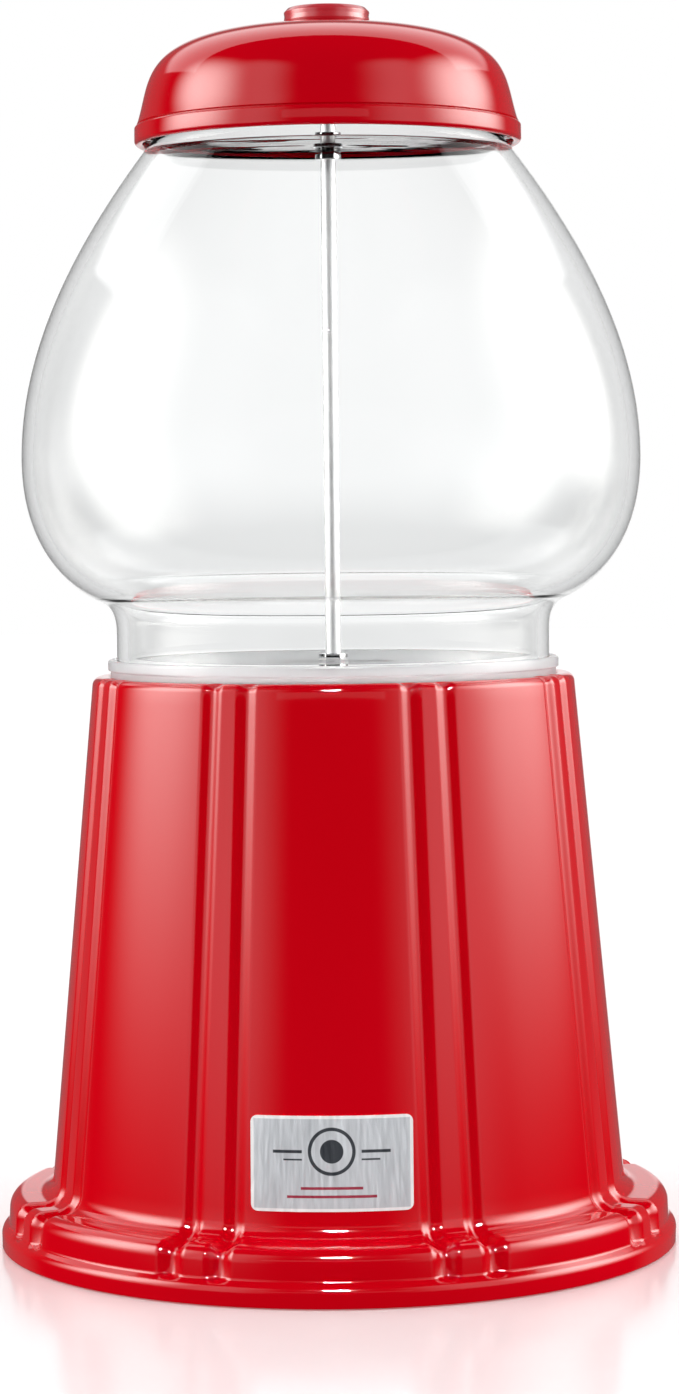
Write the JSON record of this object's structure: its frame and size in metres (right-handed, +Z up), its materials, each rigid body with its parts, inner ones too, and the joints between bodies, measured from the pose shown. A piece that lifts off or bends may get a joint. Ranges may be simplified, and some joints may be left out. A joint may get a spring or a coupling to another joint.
{
  "type": "candy bulk dispenser",
  "caption": "Table-top candy dispenser with a clear glass globe, domed lid, fluted cast pedestal, turning coin handle, candy wheel and hinged chute flap.",
  "frame": {"origin": "centre of the base, on the surface that the feet stand on", "axes": "+Z up, the coin handle and chute face -Y, +X to the right seen from the coin side"},
  "size_m": [0.21, 0.21, 0.381],
  "materials": {
    "red_paint": "gloss enamel on cast metal",
    "label_foil": "brushed silver foil with a pale border",
    "zinc_steel": "zinc-plated",
    "chrome": "polished chrome plate",
    "dark_steel": "blackened steel",
    "machined_steel": "turned steel",
    "brass": "satin",
    "cast_zinc": "raw die casting",
    "clear_plastic": "translucent white moulding",
    "white_plastic": "satin moulded plastic",
    "seal": "soft pale rubber",
    "glass": "clear blown glass",
    "black_rubber": "matte",
    "black_plastic": "fine moulded grain"
  },
  "bodies": {
    "dispenser": {"pedestal": "red_paint", "pedestal_foot": "red_paint", "coin_pad": "red_paint", "chute_hood": "red_paint", "drop_tube": "white_plastic", "hopper_floor": "clear_plastic", "rear_label": "label_foil", "base_plate": "zinc_steel", "base_screws": "zinc_steel", "rubber_feet": "black_rubber", "centre_rod": "chrome", "rod_base_nut": "chrome", "rod_base_washer": "chrome", "rod_hub_nut": "chrome", "rod_hub_washer": "dark_steel", "rod_top_nut": "chrome", "rod_top_washer": "chrome", "hopper": "clear_plastic", "hopper_screws": "zinc_steel", "drop_guard": "white_plastic", "globe_gasket": "seal", "glass_globe": "glass", "candy_chute": "white_plastic", "chute_bezel": "chrome", "bezel_screws": "zinc_steel", "flap_pin": "chrome", "coin_face_plate": "chrome", "face_plate_screws": "zinc_steel", "coin_housing": "cast_zinc", "pawl_pin": "dark_steel"},
    "wheel": {"candy_wheel": "white_plastic", "wheel_gear": "white_plastic", "gear_screws": "zinc_steel"},
    "handle": {"coin_handle": "chrome", "handle_shaft": "machined_steel", "handle_nut": "chrome", "coin_carrier": "brass", "ratchet_wheel": "dark_steel", "drive_pinion": "machined_steel", "shaft_clip": "dark_steel"},
    "pawl": {"pawl": "dark_steel", "pawl_spring": "dark_steel"},
    "flap": {"chute_flap": "chrome"},
    "plug": {"bank_plug": "black_plastic"},
    "lid": {"lid": "red_paint", "lid_liner": "chrome", "lid_gasket": "seal"},
    "knob": {"lid_knob": "red_paint", "knob_insert": "brass"}
  },
  "joints": [
    {"name": "lid_lift", "type": "slide", "parent": "dispenser", "child": "lid", "axis": [0, 0, 1], "range_m": [0, 0.12]},
    {"name": "knob_turn", "type": "hinge", "parent": "lid", "child": "knob", "pos_m": [0, 0, 0.378], "axis": [0, 0, 1], "continuous": true},
    {"name": "wheel_spin", "type": "hinge", "parent": "dispenser", "child": "wheel", "pos_m": [0, 0, 0.155], "axis": [0, 0, 1], "continuous": true},
    {"name": "handle_turn", "type": "hinge", "parent": "dispenser", "child": "handle", "pos_m": [0, -0.09, 0.134], "axis": [0, 1, 0], "continuous": true},
    {"name": "pawl_lift", "type": "hinge", "parent": "dispenser", "child": "pawl", "pos_m": [-0.01316, -0.072, 0.14628], "axis": [0, -1, 0], "range_deg": [0, 8], "stiffness_Nm_per_rad": 0.004, "springref_deg": -28.65},
    {"name": "flap_swing", "type": "hinge", "parent": "dispenser", "child": "flap", "pos_m": [0, -0.0972, 0.0586], "axis": [-1, 0, 0], "range_deg": [0, 70]},
    {"name": "plug_turn", "type": "hinge", "parent": "dispenser", "child": "plug", "pos_m": [-0.04, 0.03, 0.004], "axis": [0, 0, 1], "range_deg": [0, 90]}
  ],
  "couplings": [
    {"joint": "handle_turn", "follows": "wheel_spin", "ratio": 4}
  ]
}
